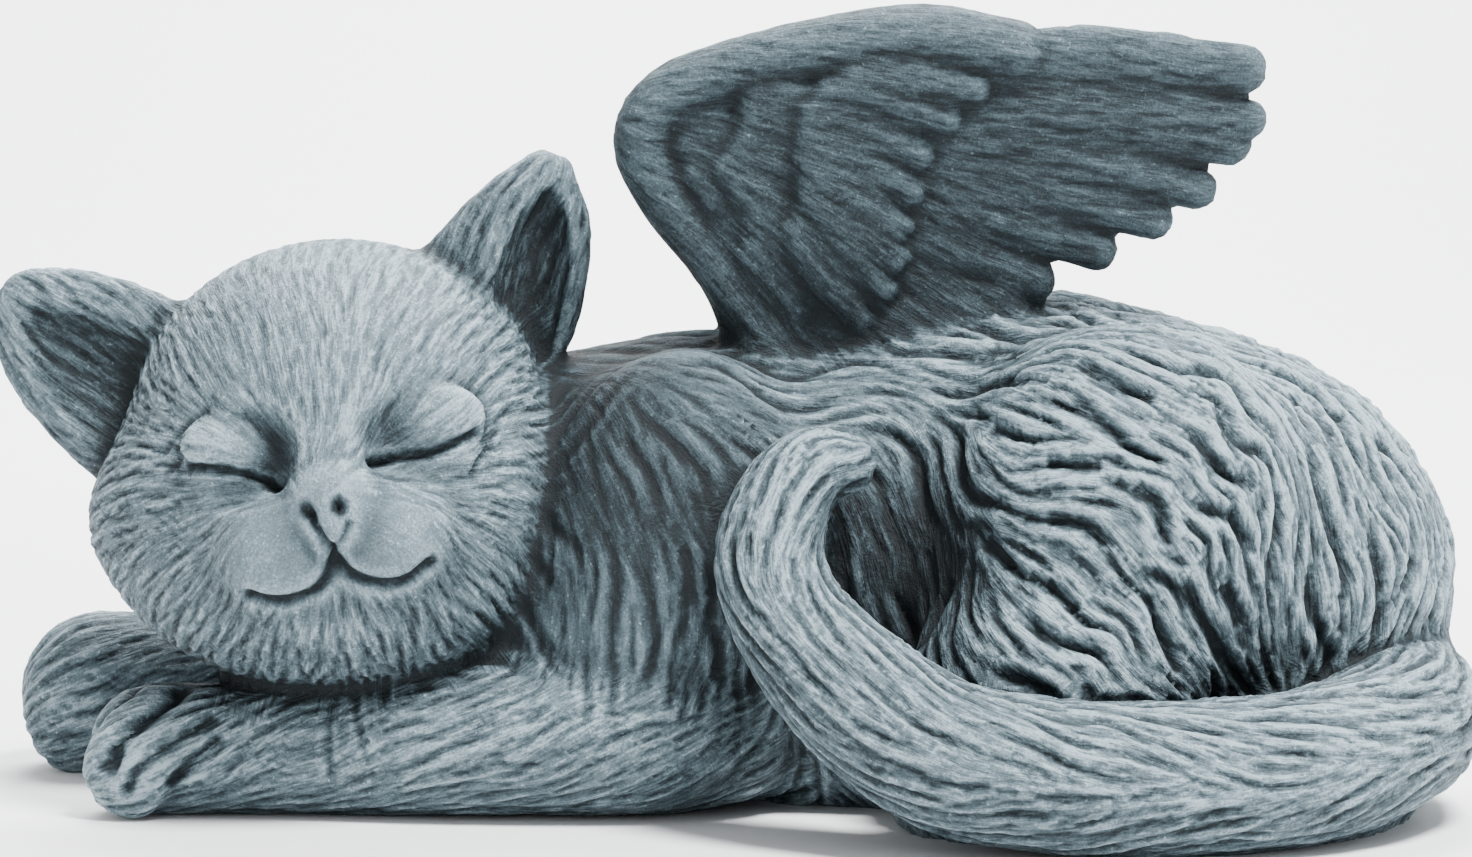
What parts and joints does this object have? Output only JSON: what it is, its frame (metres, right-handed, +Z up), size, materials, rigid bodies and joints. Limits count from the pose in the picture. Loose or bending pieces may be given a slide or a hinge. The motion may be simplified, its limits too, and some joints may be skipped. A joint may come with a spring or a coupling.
{
  "type": "pet memorial statue",
  "caption": "Garden memorial statue of a curled sleeping cat with raised feathered angel wings, its chin on its forelegs and its tail wrapped along its flank.",
  "frame": {"origin": "centre of the bounding box at the underside", "axes": "+Z up, +X from the head to the rump, -Y towards the side the face and the tail show on"},
  "size_m": [0.2516, 0.124, 0.1347],
  "materials": {
    "cast_stone": "matt blue-grey cast stone with pale brushed edges"
  },
  "bodies": {
    "root": {"statue": "cast_stone"}
  },
  "joints": []
}
